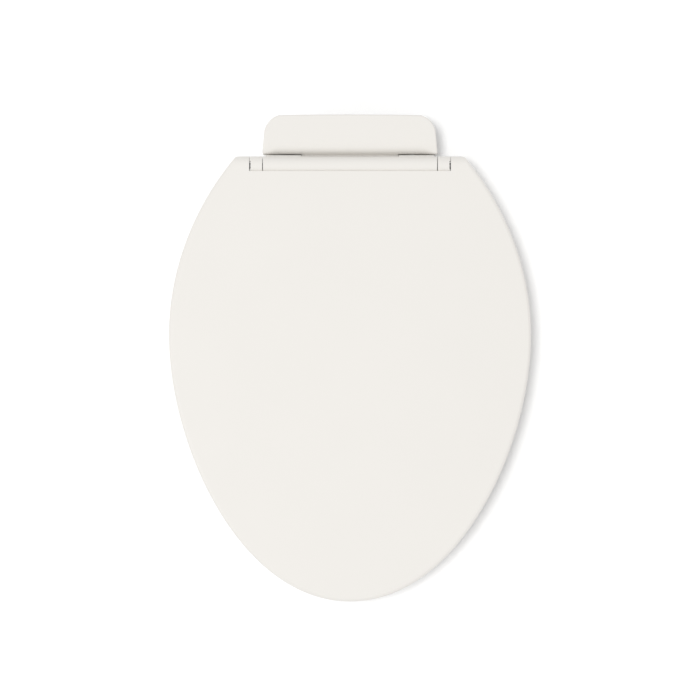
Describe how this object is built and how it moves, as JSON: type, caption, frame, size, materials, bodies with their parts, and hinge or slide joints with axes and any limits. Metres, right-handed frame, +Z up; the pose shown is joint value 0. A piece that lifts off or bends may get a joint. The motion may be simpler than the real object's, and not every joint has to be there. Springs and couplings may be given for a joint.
{
  "type": "electric bidet seat",
  "caption": "Elongated electric bidet seat in warm white: slow-close lid and heated seat on one hinge barrel, slim rear housing, spray wand under the seat.",
  "frame": {"origin": "on the face that rests on the bowl, midway between the two fixing bolts", "axes": "+Z up, -Y to the front of the bowl, +Y to the cistern, +X to the right of someone facing the cistern"},
  "size_m": [0.3636, 0.4888, 0.1127],
  "materials": {
    "white_shell": "moulded in colour, satin gloss",
    "inner_white": "moulded, semi matt",
    "grey_plastic": "moulded, fine grain",
    "black_plastic": "moulded, fine grain",
    "steel": "bright zinc and stainless",
    "brass": "turned",
    "copper_winding": "varnished copper wire",
    "dark_rubber": "matt",
    "pale_rubber": "matt",
    "heater_foil": "bright foil",
    "circuit_board": "solder mask",
    "clear_hose": "translucent silicone, satin"
  },
  "bodies": {
    "mount": {"mounting_plate": "grey_plastic", "adjuster_left": "steel", "adjuster_right": "steel", "fixing_bolt_left": "steel", "fixing_bolt_right": "steel", "cone_bush_left": "dark_rubber", "cone_bush_right": "dark_rubber", "wing_nut_left": "grey_plastic", "wing_nut_right": "grey_plastic"},
    "chassis": {"lower_case": "white_shell", "front_cover": "white_shell", "hinge_beam": "white_shell", "rear_cover": "white_shell", "case_screw_1": "steel", "case_screw_2": "steel", "case_screw_3": "steel", "case_screw_4": "steel", "seat_damper": "black_plastic", "lid_damper": "black_plastic", "wand_motor": "steel", "wand_cradle": "grey_plastic", "feed_manifold": "grey_plastic", "feed_tube": "steel", "control_board": "circuit_board", "power_module": "black_plastic", "power_inlet": "black_plastic", "water_inlet": "brass", "inlet_filter": "inner_white", "valve_body": "inner_white", "valve_coil": "copper_winding", "flow_heater": "steel", "valve_hose": "clear_hose", "nozzle_hose": "clear_hose"},
    "seat": {"seat_top": "white_shell", "seat_bottom": "white_shell", "seat_heater_foil": "heater_foil", "seat_bumper_front_left": "pale_rubber", "seat_bumper_front_right": "pale_rubber", "seat_bumper_rear_left": "pale_rubber", "seat_bumper_rear_right": "pale_rubber", "seat_hinge_shaft": "steel", "seat_knuckle_bush": "black_plastic"},
    "lid": {"lid": "white_shell", "lid_hinge_shaft": "steel", "lid_ear_bush": "black_plastic", "lid_bumper_front_left": "pale_rubber", "lid_bumper_front_right": "pale_rubber", "lid_bumper_rear_left": "pale_rubber", "lid_bumper_rear_right": "pale_rubber"},
    "wand": {"wand_tube": "inner_white", "nozzle_tip": "grey_plastic"},
    "pinion": {"wand_pinion": "black_plastic"},
    "guard": {"nozzle_guard": "white_shell"},
    "power_button": {"power_button": "grey_plastic"},
    "stop_button": {"stop_button": "grey_plastic"},
    "release_button": {"release_button": "grey_plastic"},
    "valve_plunger": {"valve_plunger": "steel"}
  },
  "joints": [
    {"name": "chassis_slide", "type": "slide", "parent": "mount", "child": "chassis", "axis": [0, -1, 0], "range_m": [0, 0.04]},
    {"name": "seat_hinge", "type": "hinge", "parent": "chassis", "child": "seat", "pos_m": [0, -0.0313, 0.0405], "axis": [-1, 0, 0], "range_deg": [0, 95]},
    {"name": "lid_hinge", "type": "hinge", "parent": "seat", "child": "lid", "pos_m": [0, -0.0313, 0.0405], "axis": [1, 0, 0], "range_deg": [-105, 0]},
    {"name": "wand_slide", "type": "slide", "parent": "chassis", "child": "wand", "axis": [0, -0.9781, -0.2079], "range_m": [0, 0.066]},
    {"name": "pinion_spin", "type": "hinge", "parent": "chassis", "child": "pinion", "pos_m": [0.01525, -0.0659, 0.01045], "axis": [0, -0.2079, 0.9781], "range_deg": [0, 631]},
    {"name": "guard_hinge", "type": "hinge", "parent": "chassis", "child": "guard", "pos_m": [0, -0.1, 0.0085], "axis": [-1, 0, 0], "range_deg": [0, 40]},
    {"name": "power_button_press", "type": "slide", "parent": "chassis", "child": "power_button", "axis": [1, 0, 0], "range_m": [0, 0.0016], "stiffness_N_per_m": 600, "springref_m": -0.0012},
    {"name": "stop_button_press", "type": "slide", "parent": "chassis", "child": "stop_button", "axis": [1, 0, 0], "range_m": [0, 0.0016], "stiffness_N_per_m": 600, "springref_m": -0.0012},
    {"name": "release_button_press", "type": "slide", "parent": "chassis", "child": "release_button", "axis": [-1, 0, 0], "range_m": [0, 0.002], "stiffness_N_per_m": 900, "springref_m": -0.0015},
    {"name": "valve_plunger_lift", "type": "slide", "parent": "chassis", "child": "valve_plunger", "axis": [0, 0, 1], "range_m": [0, 0.002], "stiffness_N_per_m": 300, "springref_m": -0.0015}
  ],
  "couplings": [
    {"joint": "pinion_spin", "follows": "wand_slide", "rad_per_m": 166.67}
  ]
}
